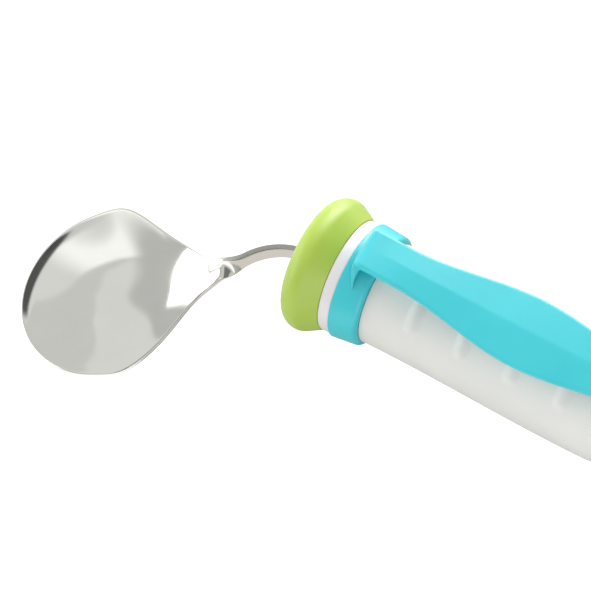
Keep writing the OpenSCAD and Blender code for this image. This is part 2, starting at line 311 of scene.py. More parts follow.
# %% [markdown]
# ### Polished steel
# The bowl and its strip are mirror-polished. A perfect mirror looks like computer graphics: real cutlery
# has hairline scratches from use and a faint cloudiness from wiping, so the roughness varies and a very
# shallow bump bends the reflections a little. Noise that is stretched along one direction makes the
# hairlines. The strip is cut from sheet, and its narrow cut edges are only brushed, so they are duller,
# and their darker colour is painted shade: the mesh says where, in its attribute `edge`.

# %% Polished steel
HAIR_LOW, HAIR_HIGH = 0.62, 0.8


def polished_steel():
    """Mirror steel: its roughness is a small base plus shares of the cloudiness, the hairlines and the cut
    edge."""
    steel = Graph(bpy.data.materials.new("polished_steel"))
    cloud = steel.noise(9.0)
    hair_a = steel.noise(0.25, steel.place((1, 0.02, 1), (0, 0, 0.5)), 2.0)
    hair_b = steel.noise(0.3, steel.place((0.02, 1, 1), (0, 0, 0.2)), 2.0)
    hairs = steel.ramp(hair_a, HAIR_LOW, HAIR_HIGH) + steel.ramp(hair_b, HAIR_LOW, HAIR_HIGH)
    # The cut edge gets a rougher, duller finish, and its darker colour 178, 174, 169 is painted shade along
    # the edge.
    shaded_cut_edge = steel.node("ShaderNodeAttribute", {"attribute_name": "edge"}, {}, "Fac")
    tint = steel.mix(cloud, colour(232, 230, 226), colour(224, 221, 216))
    return steel.close({
        "Base Color": steel.mix(shaded_cut_edge, tint, colour(178, 174, 169)),
        "Metallic": 1.0,
        "Roughness": 0.055 + 0.05 * cloud + 0.05 * hairs + 0.25 * shaded_cut_edge,
        "Normal": steel.bump(hairs + 3.0 * cloud, 0.05, 0.02),
    })


# %% [markdown]
# ### Silicone, soft grip and moulded plastic
# The strap is satin silicone: even in colour, a little translucent, with the fine grain of its mould. The
# grip is a soft-touch sleeve with a matte, faintly pebbled skin. The collar, the lip and the cap are hard
# mouldings with a satin skin. They share one recipe, a colour that wanders slightly, a grain, a roughness
# and a thin rough coat that lays a pale sheen on them, so they share a function.

# %% Mouldings
def moulding(name, light, dark, grain, grain_depth, rough, soften):
    """Moulded surface: colour wanders between light and dark, grain is the size of its pebbles in
    millimetres, and soften is how much light goes under the skin."""
    made = Graph(bpy.data.materials.new(name))
    drift = made.noise(14.0, detail=2.0)
    pebbles = made.noise(grain, detail=2.0)
    specks = made.ramp(made.noise(0.9, detail=1.0), 0.7, 0.78)
    return made.close({
        "Base Color": made.mix(made.ramp(drift, 0.3, 0.7), light, dark),
        "Roughness": rough - 0.06 + 0.12 * pebbles + 0.1 * specks,
        "Normal": made.bump(pebbles, 0.35, grain_depth),
        "Subsurface Weight": soften,
        "Subsurface Radius": (1.0, 1.0, 1.0),
        "Subsurface Scale": 1.2 * MM,
        "Coat Weight": 0.4,
        "Coat Roughness": 0.45,
    })


def ground_steel():
    """Ground steel for the pins: noise stretched to fine lines gives the roughness and a shallow bump."""
    steel = Graph(bpy.data.materials.new("ground_steel"))
    lines = steel.noise(0.2, steel.place((1, 0.03, 1)), 2.0)
    return steel.close({
        "Base Color": colour(200, 200, 198),
        "Metallic": 1.0,
        "Roughness": 0.28 + 0.2 * lines,
        "Normal": steel.bump(lines, 0.2, 0.02),
    })


# Light and dark colour, size and depth of the grain, roughness, and share of light that goes under the skin
looks = {
    "green_collar": (colour(167, 192, 70), colour(161, 187, 62), 0.35, 0.015, 0.42, 0.1),
    "white_plastic": (colour(224, 217, 220), colour(220, 213, 216), 0.3, 0.01, 0.34, 0.05),
    "soft_white": (colour(216, 215, 211), colour(212, 211, 207), 0.28, 0.03, 0.6, 0.1),
    "turquoise_silicone": (colour(50, 192, 202), colour(42, 187, 198), 0.4, 0.02, 0.36, 0.1),
}
finishes = {name: moulding(name, *look) for name, look in looks.items()}
finishes |= {"polished_steel": polished_steel(), "pin_steel": ground_steel()}
print("finishes:", sorted(finishes))


def fit(piece, slot, body, *nodes):
    """Gives a piece its finish, lets it stand for the solids it covers, and lets it ride on its body. A
    piece that lies between two bodies is given no body."""
    piece.data.materials.append(finishes[slot])
    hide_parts(*nodes)
    if body:
        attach(piece, body)


# %% [markdown]
# ## Finger guard
# The lime green collar is one turned moulding: a flat front with a hole for the neck, a fat rounded rim,
# and a flank that narrows to the lip. An outline with arcs at its corners, turned about the handle's axis,
# gives it exactly.

# %% Finger guard
COLLAR_BACK_R = 15.1
COLLAR_ROUND = 4.6
NECK_HOLE_R = 3.6
RIM_ROWS = 40
SEAT_FACE, SEAT_R = core_low[0] - SEAT_FIT, CORE_R + SEAT_FIT
flank = np.array([LIP_FRONT, COLLAR_BACK_R])
rim_centre = np.array([COLLAR_FRONT + COLLAR_ROUND, COLLAR_R - COLLAR_ROUND])
reach = flank - rim_centre
tangent_turn = np.arctan2(reach[1], reach[0]) + np.arccos(COLLAR_ROUND / np.linalg.norm(reach))
rim = np.linspace(np.pi, tangent_turn, RIM_ROWS)
rim_arc = rim_centre + COLLAR_ROUND * np.stack([np.cos(rim), np.sin(rim)], axis=1)
back_corners = [
    (*rim_arc[-1], 0),
    (*flank, 0.35),
    (LIP_FRONT, SEAT_R, 0.2),
    (SEAT_FACE, SEAT_R, 0.1),
    (SEAT_FACE, NECK_HOLE_R, 0.15),
    (COLLAR_FRONT, NECK_HOLE_R, 0.5),
    (*rim_arc[0], 0),
]
collar_outline = resampled(np.concatenate([rim_arc, rounded(back_corners, steps=6)]), step=0.3)
guard = surface("finger_guard", (turned(collar_outline), True, True))
fit(guard, "green_collar", "handle", "collar")

# %% [markdown]
# ## Handle
# A hard white tube carries everything. Only its lip shows, between the guard and the strap's ring, with
# softly rounded edges. Behind the grip a cap closes the butt.

# %% Tube with its lip, and the cap
LIP_BACK = STRAP_FRONT - EDGE_GAP
tube_corners = [
    (core_low[0], CORE_BORE_R, 0.2),
    (core_low[0], CORE_R, 0.2),
    (LIP_FRONT, CORE_R, 0.05),
    (LIP_FRONT, LIP_R, 0.4),
    (LIP_BACK, LIP_R, 0.15),
    (LIP_BACK, CORE_R, 0.05),
    (core_high[0], CORE_R, 0.2),
    (core_high[0], CORE_BORE_R, 0.2),
]
tube_outline = resampled(rounded(tube_corners, steps=6), step=0.5)
tube = surface("tube_and_lip", (turned(tube_outline), True, True))
fit(tube, "white_plastic", "handle", "handle_core")

CAP_ROUND = 5.0
PLUG_R = CORE_BORE_R - SEAT_FIT
cap_corners = [
    (cap_low[0], 0, 0),
    (cap_low[0], PLUG_R, 0.6),
    (core_high[0], PLUG_R, 0.05),
    (core_high[0], CAP_R, 0.5),
    (BUTT, CAP_R, CAP_ROUND),
    (BUTT, 0, 0),
]
cap_outline = resampled(rounded(cap_corners, steps=16), step=0.4, closed=False)
cap = surface("butt_cap", (turned(cap_outline), False, True))
fit(cap, "white_plastic", "handle", "end_cap")

# %% [markdown]
# ## Grip sleeve
# The soft white sleeve swells gently towards the palm and has low cross ribs under the strap, whose rounded
# ends show beside it. A revolved outline gives the swelling, and the ribs are added to its radius: the
# height of a rib falls off with the distance from its middle line, so its sides and ends come out equally
# round.

# %% Grip sleeve with ribs
GRIP_END_R, GRIP_BELLY_R, BELLY_AT = 13.3, 15.2, 72.0
GROOVE_R = 12.6
RIB_FIRST, RIB_PITCH, RIB_COUNT = 23.8, 13.6, 5
RIB_H, RIB_HALF_W, RIB_SPAN = 1.0, 2.2, np.radians(92)
RING_W = 7.6
groove_front = STRAP_FRONT + RING_W + EDGE_GAP
groove_rear = STRAP_REAR - RING_W - EDGE_GAP


def grip_radius(x):
    """Radius of the grip: end radius plus the smooth step of the nearer slope's share, which is 1 at the
    belly."""
    belly = LIP_FRONT + BELLY_AT
    share = np.minimum((x - groove_front) / (belly - groove_front), (groove_rear - x) / (groove_rear - belly))
    return GRIP_END_R + (GRIP_BELLY_R - GRIP_END_R) * smooth(share)


def rib_height(x, angle, radius):
    """Height of the ribs: (1 - d squared) squared, where d is the distance from a rib's middle line over
    its half width. The distance counts along the handle, and past a rib's ends also around it."""
    centre = LIP_FRONT + RIB_FIRST + RIB_PITCH * np.arange(RIB_COUNT)
    along = np.abs(x[..., None] - centre).min(-1)
    past_end = np.maximum(np.abs(angle) * radius - (RIB_SPAN / 2 * radius - RIB_HALF_W / 2), 0)
    d = np.minimum(np.hypot(along, past_end) / RIB_HALF_W, 1)
    return RIB_H * (1 - d * d) ** 2


GROOVE_ROUND, SHOULDER_ROUND = 0.1, 0.25


def step_corners(end, bore_in, shoulder):
    """Corners of one end of the sleeve, from inside its bore out to its shoulder beside the ring's
    groove."""
    return [
        (bore_in, SEAT_R, 0),
        (end, SEAT_R, GROOVE_ROUND),
        (end, GROOVE_R, GROOVE_ROUND),
        (shoulder, GROOVE_R, GROOVE_ROUND),
        (shoulder, GRIP_END_R, SHOULDER_ROUND),
    ]


SKIN_INSET, SKIN_ROWS, BORE_IN = 0.3, 240, 1.0
RADIUS_TOL = 0.01
skin_x = np.linspace(groove_front + SKIN_INSET, groove_rear - SKIN_INSET, SKIN_ROWS)
skin = np.stack([skin_x, grip_radius(skin_x)], axis=1)
front_corners = step_corners(SLEEVE_FRONT, SLEEVE_FRONT + BORE_IN, groove_front)
rear_corners = step_corners(SLEEVE_REAR, SLEEVE_REAR - BORE_IN, groove_rear)[::-1]
step_front = rounded([*front_corners, (*skin[0], 0)], steps=5)
step_rear = rounded([(*skin[-1], 0), *rear_corners], steps=5)
sleeve_outline = resampled(np.concatenate([step_front, skin, step_rear]), step=0.8)
sleeve = turned(sleeve_outline, around=256)
sleeve_r = np.hypot(sleeve[..., 1], sleeve[..., 2])
sleeve_angle = np.arctan2(sleeve[..., 1], sleeve[..., 2])
lift = rib_height(sleeve[..., 0], sleeve_angle, sleeve_r) * (sleeve_r > GRIP_END_R - RADIUS_TOL)
sleeve[..., 1:] *= (1 + lift / sleeve_r)[..., None]
grip = surface("grip", (sleeve, True, True))
fit(grip, "soft_white", "handle", "grip_sleeve")

# %% [markdown]
# ## Hand strap
# The strap is one silicone moulding: a ring at each end that turns in a groove, and a band that stands on
# two posts above the grip like a bridge. The band is a section carried along a path, up the front post,
# round the corner, along the top and down again. Its section is a rectangle with round edges and a roof, so
# each row needs only the band's outer line, its inner line and its width.

# %% Strap sizes
RING_WALL, RING_TAPER = 2.8, 0.8
POST_SET, POST_T, POST_LEAN = 1.1, 2.6, np.radians(22)
STRAP_T, STRAP_ROOF = 2.4, 0.7
STRAP_END_W, STRAP_MID_W, STRAP_SWELL = 10.6, 18.0, 33.0
OUTER_ROUND, INNER_ROUND = 2.6, 1.2
BAND_EDGE = 0.6
FOOT_SINK, FOOT_SPREAD, FOOT_SQUEEZE = 0.5, 0.6, 0.95
FOOT_HOOK = 0.7
RIDGE_ROUND = 0.1
TWIST_FRONT, TWIST_GAIN = np.radians([-1.6, 8.0])
STRAP_MID = (STRAP_FRONT + STRAP_REAR) / 2
STRAP_HALF = (STRAP_REAR - STRAP_FRONT) / 2
BAND_UNDER = STRAP_TOP - STRAP_T
FOOT_ROWS, CORNER_ROWS, TOP_ROWS = 24, 16, 90
print(f"band {2 * STRAP_HALF:.1f} long, from {BAND_UNDER:.1f} to {STRAP_TOP:.1f} above the axis")


def band_line(round_r, top, inset):
    """One line of the front half of the band as (distance from the middle, height), row by row from the
    start of its corner to the middle: an arc that starts on the post's leaning face, then a straight
    run."""
    tilt = np.linspace(POST_LEAN, np.pi / 2, CORNER_ROWS)[:, None]
    arc = round_r * np.hstack([np.cos(tilt), np.sin(tilt)])
    start_z = top - round_r + arc[0, 1]
    start_d = STRAP_HALF - POST_SET - inset - (start_z - RING_R) * np.tan(POST_LEAN)
    corner = np.array([start_d - arc[0, 0], top - round_r]) + arc
    run = np.linspace(1, 0, TOP_ROWS)[1:, None]
    return np.concatenate([corner, np.hstack([corner[-1, 0] * run, 0 * run + top])])


def band_width(d):
    """Width of the band: narrow over the rings, swelling by a smooth step to the middle."""
    return STRAP_END_W + (STRAP_MID_W - STRAP_END_W) * smooth(1 - np.abs(d) / STRAP_SWELL)


def section_loop(face=33, arc=7, side=5):
    """Loop round the band's section. Each point has four values: its place across, from -1 to 1 of the half
    width less the edge radius, its own sideways step and its depth, both as shares of the edge radius, and
    1 where the depth counts from the inner face, 0 where it counts from the outer one."""
    a = np.linspace(np.pi / 2, 0, arc)
    across = np.linspace(-1, 1, face)
    blank = np.zeros(face)
    edge = np.ones(arc)
    rise = np.linspace(0, 1, side + 2)[1:-1]
    outer = np.stack([across, blank, blank, blank])
    right_top = np.stack([edge, np.cos(a), 1 - np.sin(a), 0 * a])
    right_side = np.stack([0 * rise + 1, 0 * rise + 1, 0 * rise + 1, rise])
    right_low = np.stack([edge, np.cos(a), 1 - np.sin(a), edge])[:, ::-1]
    inner = np.stack([-across, blank, blank, blank + 1])
    half = np.concatenate([right_top[:, 1:], right_side, right_low[:, :-1]], axis=1)
    left = half[:, ::-1].copy()
    left[:2] *= -1
    return np.concatenate([outer, half, inner, left], axis=1)


# %% Band
def twisted(points):
    """The soft band lies a little twisted: it turns about the handle's axis by an angle that grows from the
    front ring to the rear ring as a quarter of a sine."""
    x, y, z = np.moveaxis(points, -1, 0)
    turn = TWIST_FRONT + TWIST_GAIN * np.sin(np.pi / 2 * np.clip((x - STRAP_FRONT) / (2 * STRAP_HALF), 0, 1))
    return np.stack([x, y * np.cos(turn) - z * np.sin(turn), z * np.cos(turn) + y * np.sin(turn)], axis=-1)


def strap_band():
    """Points of the whole band. A point lies on the line between the outer and the inner line of its row,
    at its depth from the outer face plus the roof's drop, or at its depth from the inner face. The rows of
    a post start on the ring, at the ring's own height under each point, and spread there to a sickle that
    hooks back at its ends."""
    outer, inner = band_line(OUTER_ROUND, STRAP_TOP, 0), band_line(INNER_ROUND, BAND_UNDER, POST_T)
    outer, inner = (np.concatenate([line[:1].repeat(FOOT_ROWS, 0), line]) for line in (outer, inner))
    across, sideways, depth, inside = section_loop()
    half_w = band_width((outer[:, :1] + inner[:, :1]) / 2) / 2
    y = across * (half_w - BAND_EDGE) + sideways * BAND_EDGE
    fade = smooth((outer[0, 0] - outer[:, :1]) / (STRAP_HALF / 3))
    drop = fade * STRAP_ROOF * (np.hypot(y, RIDGE_ROUND) - RIDGE_ROUND) / (STRAP_MID_W / 2)
    gap = np.linalg.norm(inner - outer, axis=1)[:, None]
    from_outer = depth * BAND_EDGE + drop
    share = (from_outer + (gap - depth * BAND_EDGE - from_outer) * inside) / gap
    d = outer[:, :1] + (inner - outer)[:, :1] * share
    z = outer[:, 1:] + (inner - outer)[:, 1:] * share
    foot = slice(0, FOOT_ROWS)
    low = 1 - np.linspace(0, 1, FOOT_ROWS, endpoint=False)[:, None]
    squeeze = 1 - FOOT_SQUEEZE * low * (y[foot] / half_w[foot]) ** 2
    y[foot] *= 1 + FOOT_SPREAD * low**2
    hook = STRAP_HALF - POST_SET - POST_T - FOOT_HOOK
    ring_r = RING_R - RING_TAPER * (STRAP_HALF - d[foot]) / RING_W
    ring_top = np.sqrt(ring_r**2 - y[foot] ** 2)
    post_top = z[FOOT_ROWS]
    z[foot] = low * (ring_top - FOOT_SINK) + (1 - low) * post_top
    leaning = d[foot] + (post_top - z[foot]) * np.tan(POST_LEAN)
    d[foot] = hook + (leaning - hook) * squeeze
    front = np.stack([STRAP_MID - d, y, z], axis=-1)
    rear = np.stack([STRAP_MID + d, y, z], axis=-1)[::-1]
    return twisted(np.concatenate([front, rear[1:]]))


def strap_ring(edge, inward):
    """One ring of the strap: a wall that thins from its outer edge inwards, with round edges, turned about
    the handle."""
    bore, thin = RING_R - RING_WALL, RING_R - RING_TAPER
    far = edge + inward * RING_W
    corners = [(edge, bore, 0.2), (edge, RING_R, 0.3), (far, thin, 1.3), (far, bore, 0.2)]
    return turned(resampled(rounded(corners, steps=10), step=0.4))


strap = surface(
    "strap",
    (strap_band(), False, True),
    (strap_ring(STRAP_FRONT, 1), True, True),
    (strap_ring(STRAP_REAR, -1), True, True),
)
fit(strap, "turquoise_silicone", "strap", "hand_strap")

# %% [markdown]
# ## Neck
# The neck is a steel strip on edge, bent sideways in one even curve. In the solids two hinges share that
# bend. Here a rounded section is carried along the true arc, in two pieces that meet halfway between the
# hinges.

# %% Path of the bend
STRIP_EDGE = 0.4
TANG_END = tang_high[0]
link_half = COLLAR_FRONT - hinge_1[0]
link = hinge_2 - hinge_1
link_yaw = np.arctan2(-link[1], -link[0])
bend_yaw = 2 * link_yaw
bend_r = link_half / np.tan(link_yaw / 2)


def strip_points(yaw, straight):
    """Section of the strip along its path: straight back into the handle, then on an arc that turns by yaw.
    The section is a rectangle with round edges, and its thickness lies along the arc's radius."""
    half_t, half_h = STRIP_T / 2, STRIP_H / 2
    places = [(-half_t, -half_h), (half_t, -half_h), (half_t, half_h), (-half_t, half_h)]
    section = resampled(rounded([(*place, STRIP_EDGE) for place in places], steps=6), step=0.3)
    turn = np.concatenate([0 * straight, yaw])[:, None]
    x = np.concatenate([straight, COLLAR_FRONT - bend_r * np.sin(yaw)])[:, None]
    y = np.concatenate([0 * straight, -bend_r * (1 - np.cos(yaw))])[:, None]
    out, height = section[:, 0], section[:, 1]
    return np.stack([x + np.sin(turn) * out, y - np.cos(turn) * out, 0 * x + height], axis=-1)


def strip(name, yaw, straight):
    """One length of the strip, with its narrow edges marked as cut edges from where their rounding
    starts."""
    points = strip_points(yaw, straight)
    # This mask marks the narrow edges for the steel's duller finish and its painted shade.
    past_flat = np.abs(points[..., 2]) - (STRIP_H / 2 - STRIP_EDGE)
    return surface(name, (points, False, True), edge=smooth(past_flat / STRIP_EDGE))


def on_bend(yaw):
    """Point of the strip's middle on the bend, in metres."""
    return tuple(np.array([COLLAR_FRONT - bend_r * np.sin(yaw), -bend_r * (1 - np.cos(yaw)), 0]) * MM)


TAIL_ROWS, BEND_ROWS = 60, 50
tail = np.linspace(TANG_END, COLLAR_FRONT, TAIL_ROWS, endpoint=False)
neck_rear = strip("neck_rear", np.linspace(0, link_yaw, BEND_ROWS), tail)
neck_front = strip("neck_front", np.linspace(link_yaw, bend_yaw, BEND_ROWS), tail[:0])
fit(neck_rear, "polished_steel", None, "neck_tang")
fit(neck_front, "polished_steel", None, "neck_link")
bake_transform(neck_rear)
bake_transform(neck_front)
print(f"bend of {np.degrees(bend_yaw):.1f} degrees at radius {bend_r:.2f}")

# %% [markdown]
# ## Bowl
# Past the bend the strip turns a quarter about its own line, spreads and becomes the bowl. It is one formed
# sheet, so its middle surface is a function of two lengths: along the spoon and across it. First comes its
# path. The heading turns along the root, and the quarter turn runs on a little into the heel, so that it
# ends softly.

# %% Path and quarter turn of the root
ROOT_LEN = 9.0
BOWL_YAW, BOWL_PITCH, BOWL_TWIST = np.radians([32, 14, 90])
TWIST_LAG = 2.0
PATH_ROWS = 2001


def root_heading(u):
    """Yaw and pitch of the strip's line at u, which turn by the smooth step over the root."""
    turn = smooth((u + ROOT_LEN) / ROOT_LEN)
    return bend_yaw + (BOWL_YAW - bend_yaw) * turn, BOWL_PITCH * turn


def head_lines(u):
    """Middle of the strip, its normal and its wide direction at distance u past the end of the root. The
    middle is the running sum of the heading, and the quarter turn follows the smooth step and ends a little
    later than the root."""
    table = np.linspace(-ROOT_LEN, 0, PATH_ROWS)
    yaw, pitch = root_heading(table)
    heading = np.stack([-np.cos(yaw) * np.cos(pitch), -np.sin(yaw) * np.cos(pitch), -np.sin(pitch)], axis=-1)
    steps = (heading[1:] + heading[:-1]) / 2 * np.diff(table)[:, None]
    start = np.array(on_bend(bend_yaw)) / MM
    middle = np.concatenate([start[None], start + np.cumsum(steps, axis=0)])
    past = np.maximum(u, 0)[..., None] * heading[-1]
    at = np.stack([np.interp(u, table, middle[:, k]) for k in range(3)], axis=-1) + past
    yaw, pitch = root_heading(u)
    twist = (BOWL_TWIST * smooth((u + ROOT_LEN) / (ROOT_LEN + TWIST_LAG)))[..., None]
    side = np.stack([np.sin(yaw), -np.cos(yaw), 0 * yaw], axis=-1)
    up = np.stack([-np.cos(yaw) * np.sin(pitch), -np.sin(yaw) * np.sin(pitch), np.cos(pitch)], axis=-1)
    return at, np.cos(twist) * side + np.sin(twist) * up, np.cos(twist) * up - np.sin(twist) * side


root_end = head_lines(np.array(0.0))[0]
print("root ends at", root_end.round(2))

# %% [markdown]
# Seen from above the bowl is round at the tip and runs in to the strip like a pear. The tip is half an
# ellipse. The heel is a raised cosine, whose level ends leave the strip and meet the ellipse without a
# corner. A list of measured points could give the same outline, but a mirror shows every dent in such a
# list.

# %% Outline of the sheet
BOWL_LEN, BOWL_HALF_W, WIDE_AT = 54.5, 23.7, 28.0
FLARE_LEN, HEEL_POWER = 7.6, 1.4
JOIN = 12.0
TIP_LEN = BOWL_LEN - WIDE_AT


def widening(u):
    """From 0 at the strip to 1 at the widest place: a raised cosine to a power."""
    share = np.clip((WIDE_AT - u) / (WIDE_AT + FLARE_LEN), -1, 1)
    return ((1 + np.cos(np.pi * share)) / 2) ** HEEL_POWER


def outline_half(u):
    """Half width of the sheet: the heel's widening, then the half of an ellipse, joined smoothly about the
    widest place. Also gives the ellipse's own half width and the share of the ellipse."""
    along = (u - WIDE_AT) / TIP_LEN
    ellipse = BOWL_HALF_W * np.sqrt(np.clip(1 - along**2, 1e-9, None))
    heel = STRIP_H / 2 + (BOWL_HALF_W - STRIP_H / 2) * widening(u)
    share = smoother((u - WIDE_AT + JOIN) / (2 * JOIN))
    return heel + (ellipse - heel) * share, ellipse, share


print(f"half width at the widest place {outline_half(np.array(WIDE_AT))[0]:.2f}")

# %% [markdown]
# The dish is deepest in the middle and gets steeper towards the rim. A polynomial in the square of the
# distance from the middle gives that, and one number sets how flat its bottom is. At the heel the dish runs
# out into the strip in a soft saddle. Round the tip the edge is turned up by a fraction of a millimetre,
# which gives it a dark crescent.

# %% Depth of the dish
BOWL_DEPTH = 7.5
DISH_FLAT, HEEL_FLAT = -0.25, 0.2
DISH_LEAD, SADDLE = 3.0, 0.06
TURN_W, TURN_RISE = 3.0, 0.37


def dish(square, flat=DISH_FLAT):
    """Depth of the dish from 1 in the middle to 0 at the rim, for the square of the distance from the
    middle. The larger flat is, the flatter is its bottom and the steeper its rim."""
    return 1 - (1 - flat) * square - flat * square**2


def heel_depth(u):
    """Depth of the dish along the heel's middle: the dish's own curve, whose end runs out into the strip in
    a soft saddle. The saddle is a smooth stand-in for the larger of the curve and nothing."""
    curve = dish(((WIDE_AT - u) / (WIDE_AT + DISH_LEAD)) ** 2, HEEL_FLAT)
    return (curve + np.hypot(curve, SADDLE)) / (1 + np.hypot(1, SADDLE))


def heel_ramp(u):
    """How flat the heel is across: 1 at the strip, falling by the smooth step to 0 at the widest place.
    Where it is flat the rim drops with the middle, so the heel is a ramp that leads down into the bowl."""
    return 1 - smooth(u / WIDE_AT)


def edge_rise(along, radius):
    """Rise of the turned-up edge round the tip: a parabola that starts a set distance inside the rim and
    fades by the smooth step towards the widest place."""
    inside = np.clip(1 - (1 - radius) * TIP_LEN / TURN_W, 0, None)
    return TURN_RISE * inside**2 * smooth(along)


print("depth along the heel:", (BOWL_DEPTH * heel_depth(np.linspace(0, WIDE_AT, 5))).round(2))

# %% [markdown]
# Path, outline and depth together give the sheet's middle surface. The heel also sways a little to one side
# where the neck's bend runs out. The normal is worked out from small differences, so that no formula has to
# be differentiated by hand.

# %% Formed sheet
SWAY, SWAY_AT, SWAY_LEN = 1.5, 7.5, 6.5


def sway(u):
    """Sideways shift of the heel where the neck's bend runs out: a bell curve."""
    return SWAY * np.exp(-(((u - SWAY_AT) / SWAY_LEN) ** 2))


def sheet_middle(u, w):
    """Middle surface of the sheet at u along and w across it: the head's line, moved across by w and the
    sway, and down by the depth. The depth goes from the heel's to the dish's with the outline's share of
    the ellipse."""
    half, ellipse, share = outline_half(u)
    along = (u - WIDE_AT) / TIP_LEN
    scale = BOWL_HALF_W * np.where(share < 1, half / ellipse, 1)
    across = 1 - dish((w / np.where(share < 1, half, 1)) ** 2)
    heel_dish = heel_depth(u) * (1 - (1 - heel_ramp(u)) * across)
    radius_square = along**2 + (w / scale) ** 2
    depth = BOWL_DEPTH * (heel_dish + (dish(radius_square) - heel_dish) * share)
    depth -= edge_rise(along, np.sqrt(radius_square))
    at, normal, wide = head_lines(u)
    return at + (w + sway(u))[..., None] * wide - depth[..., None] * normal


def sheet_normal(u, w, step=0.02):
    """Unit normal of the middle surface on its hollow side, from the differences to points a step away."""
    du = sheet_middle(u + step, w) - sheet_middle(u - step, w)
    dw = sheet_middle(u, w + step) - sheet_middle(u, w - step)
    normal = np.cross(du, dw)
    normal /= np.linalg.norm(normal, axis=-1, keepdims=True)
    return normal * np.sign((normal * head_lines(u)[1]).sum(-1, keepdims=True))


print("tip at", sheet_middle(np.array(BOWL_LEN), np.array(0.0)).round(2))

# %% [markdown]
# A grid of straight rows would pinch to a point at the tip, where a mirror shows every pinch. So the rows
# here run round the bowl like the lines of a running track: along one side, round the tip and back, each at
# a fixed share of the way from the middle to the rim. The sheet is thick at the strip and thin at the bowl,
# and its rim is rounded.

# %% Rows round the bowl
BOWL_T, THIN_RATE = 1.2, 4.0
SIDE_ROWS, TIP_ROWS, ACROSS = 110, 90, 46
RIM_STEPS, RIM_PROBE = 7, 0.03
STATIONS = 2 * SIDE_ROWS + TIP_ROWS - 2


def track(share):
    """Points (u, w) at a share of the way from the middle to the rim: along one side from the root to the
    widest place, round the tip on part of an ellipse, and back along the other side."""
    share = np.broadcast_to(share, (len(share), STATIONS))
    going, tip, back = np.split(share, [SIDE_ROWS, STATIONS - SIDE_ROWS], axis=1)
    side_u = np.linspace(-ROOT_LEN, WIDE_AT, SIDE_ROWS)
    side_half = outline_half(side_u)[0]
    angle = np.linspace(np.pi / 2, -np.pi / 2, TIP_ROWS)[1:-1]
    tip_u = WIDE_AT + TIP_LEN * tip * np.cos(angle)
    half, ellipse, part = outline_half(tip_u)
    tip_w = BOWL_HALF_W * np.where(part < 1, half / ellipse, 1) * tip * np.sin(angle)
    u = np.concatenate([side_u + 0 * going, tip_u, side_u[::-1] + 0 * back], axis=1)
    w = np.concatenate([side_half * going, tip_w, -side_half[::-1] * back], axis=1)
    return u, w


def thickness(u):
    """Thickness of the sheet: the strip's own, thinning to the bowl's as the strip widens."""
    return STRIP_T + (BOWL_T - STRIP_T) * np.clip(widening(np.minimum(u, WIDE_AT)) * THIN_RATE, 0, 1)


def bowl_points():
    """The whole skin of the sheet: its upper side from the middle to the rim, the rounded rim, and its
    lower side back to the middle. The sides lie half a thickness from the middle surface, and the rim's
    arcs lie in the plane of the normal and of the direction that points straight out of the rim. The second
    array marks the rim as a cut edge, like the strip's, and fades along the root by the smooth step."""
    rim_u, rim_w = track(np.array([[1.0]]))
    rim = sheet_middle(rim_u, rim_w)
    normal = sheet_normal(rim_u, rim_w)
    outward = rim - sheet_middle(*track(np.array([[1 - RIM_PROBE]])))
    out = np.cross(normal, np.gradient(rim, axis=1))
    out *= np.sign((out * outward).sum(-1, keepdims=True)) / np.linalg.norm(out, axis=-1, keepdims=True)
    thick = thickness(rim_u)[..., None]
    angle = np.linspace(np.pi / 2, 0, RIM_STEPS)[:, None, None]
    set_in = out * STRIP_EDGE * (np.cos(angle) - 1)
    rise = normal * (thick / 2 - STRIP_EDGE + STRIP_EDGE * np.sin(angle))
    to_middle = np.linalg.norm(outward, axis=-1) / RIM_PROBE
    share = np.linspace(0, 1, ACROSS)[:-1, None] * (1 - STRIP_EDGE / to_middle)
    u, w = track(share)
    body, offset = sheet_middle(u, w), sheet_normal(u, w) * thickness(u)[..., None] / 2
    # The rim's mask carries the steel's duller finish and its painted shade round the bowl's edge.
    shaded_cut_rim = smooth(np.cos(angle[..., 0])) * (1 - smooth((rim_u + ROOT_LEN) / ROOT_LEN))
    cut = np.concatenate([0 * u, shaded_cut_rim, shaded_cut_rim[::-1], 0 * u])
    upper, lower = [body + offset, rim + set_in + rise], [rim + set_in - rise, body - offset]
    return np.concatenate([*upper, *(rows[::-1] for rows in lower)]), cut


bowl_skin, shaded_cut_edge = bowl_points()
bowl = surface("bowl", (bowl_skin, False, False), edge=shaded_cut_edge)
fit(bowl, "polished_steel", "spoon_head", "spoon_bowl")

# %% [markdown]
# ## Inside
# The plug that holds the strip and its two cross pins never show, but they are part of the spoon. Their
# solids are right as they are, and only take their finishes.

# %% Inner solids
for name, slot in {"tang_socket": "white_plastic", "tang_pins": "pin_steel"}.items():
    solid = frame["nodes"][name]
    solid.data.materials.clear()
    solid.data.materials.append(finishes[slot])
    print(f"{name}: {slot}")

# %% [markdown]
# ## Camera
# The photograph looks down on the spoon from its side. The lip is the best known place in it, so the camera
# is set by where the lip falls in the picture, how many pixels a millimetre takes there, and three angles.
# A long lens at half a metre keeps the perspective as mild as it is in the picture.

# %% Camera
def placed(x_axis, y_axis, z_axis, at):
    """Matrix that turns an object to three axes and puts it at a place."""
    rows = np.stack([x_axis, y_axis, z_axis, np.array(at) * MM], axis=1)
    return Matrix([*rows.tolist(), [0, 0, 0, 1]])


